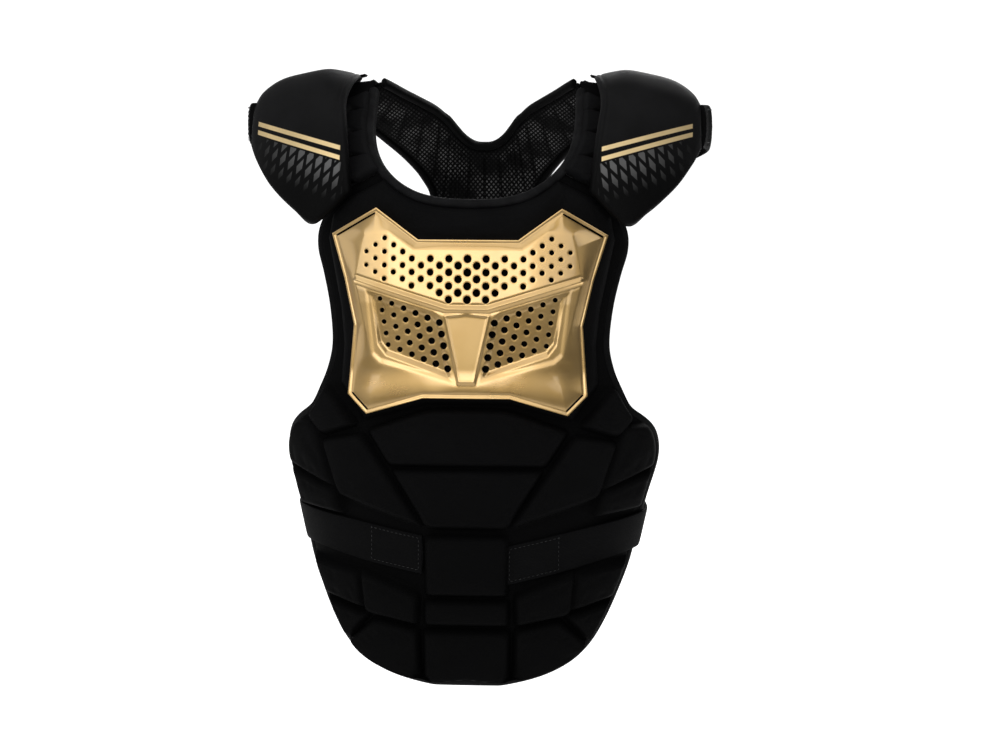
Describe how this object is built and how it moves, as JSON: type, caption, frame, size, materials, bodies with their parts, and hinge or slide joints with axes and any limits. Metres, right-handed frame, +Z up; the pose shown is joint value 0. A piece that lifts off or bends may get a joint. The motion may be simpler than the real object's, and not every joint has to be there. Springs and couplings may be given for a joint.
{
  "type": "goalkeeper's chest protector",
  "caption": "Padded chest protector for a goalkeeper: quilted front with a pierced chest plate, shoulder caps, a back yoke and elastic straps round arms and waist.",
  "frame": {"origin": "midway between the shoulders, at the height where the straps sit on them", "axes": "+Z up, -Y towards the front of the chest, +X towards the wearer's left"},
  "size_m": [0.4644, 0.2644, 0.5993],
  "materials": {
    "black_fabric": "matt woven",
    "black_foam_cloth": "matt, foam backed",
    "black_binding": "rolled edge tape",
    "black_elastic": "ribbed elastic webbing",
    "black_mesh": "open mesh over foam",
    "gold_plastic": "metallised gold, glossy"
  },
  "bodies": {
    "root": {"torso_backing": "black_fabric", "edge_binding": "black_binding", "belly_block_1": "black_foam_cloth", "belly_block_2": "black_foam_cloth", "belly_block_3": "black_foam_cloth", "belly_block_4": "black_foam_cloth", "belly_block_5": "black_foam_cloth", "armpit_block_left": "black_foam_cloth", "armpit_block_right": "black_foam_cloth", "rib_block_left": "black_foam_cloth", "rib_block_right": "black_foam_cloth", "flank_block_upper_left": "black_foam_cloth", "flank_block_upper_right": "black_foam_cloth", "flank_block_lower_left": "black_foam_cloth", "flank_block_lower_right": "black_foam_cloth", "waist_block_left": "black_foam_cloth", "waist_block_right": "black_foam_cloth", "waist_block_outer_left": "black_foam_cloth", "waist_block_outer_right": "black_foam_cloth", "hip_block_left": "black_foam_cloth", "hip_block_right": "black_foam_cloth", "hem_block_left": "black_foam_cloth", "hem_block_right": "black_foam_cloth", "chest_block": "black_foam_cloth", "chest_plate": "gold_plastic", "shoulder_strap_left": "black_foam_cloth", "shoulder_strap_right": "black_foam_cloth", "shoulder_cap_left": "black_foam_cloth", "shoulder_cap_right": "black_foam_cloth", "neck_binding": "black_binding", "yoke_binding_upper": "black_binding", "yoke_binding_lower": "black_binding", "back_yoke": "black_mesh", "shoulder_link_left": "black_fabric", "shoulder_link_right": "black_fabric", "cap_tab_left": "black_elastic", "cap_tab_right": "black_elastic", "arm_strap_left": "black_elastic", "arm_strap_right": "black_elastic", "waist_strap_left": "black_elastic", "waist_strap_right": "black_elastic"}
  },
  "joints": []
}
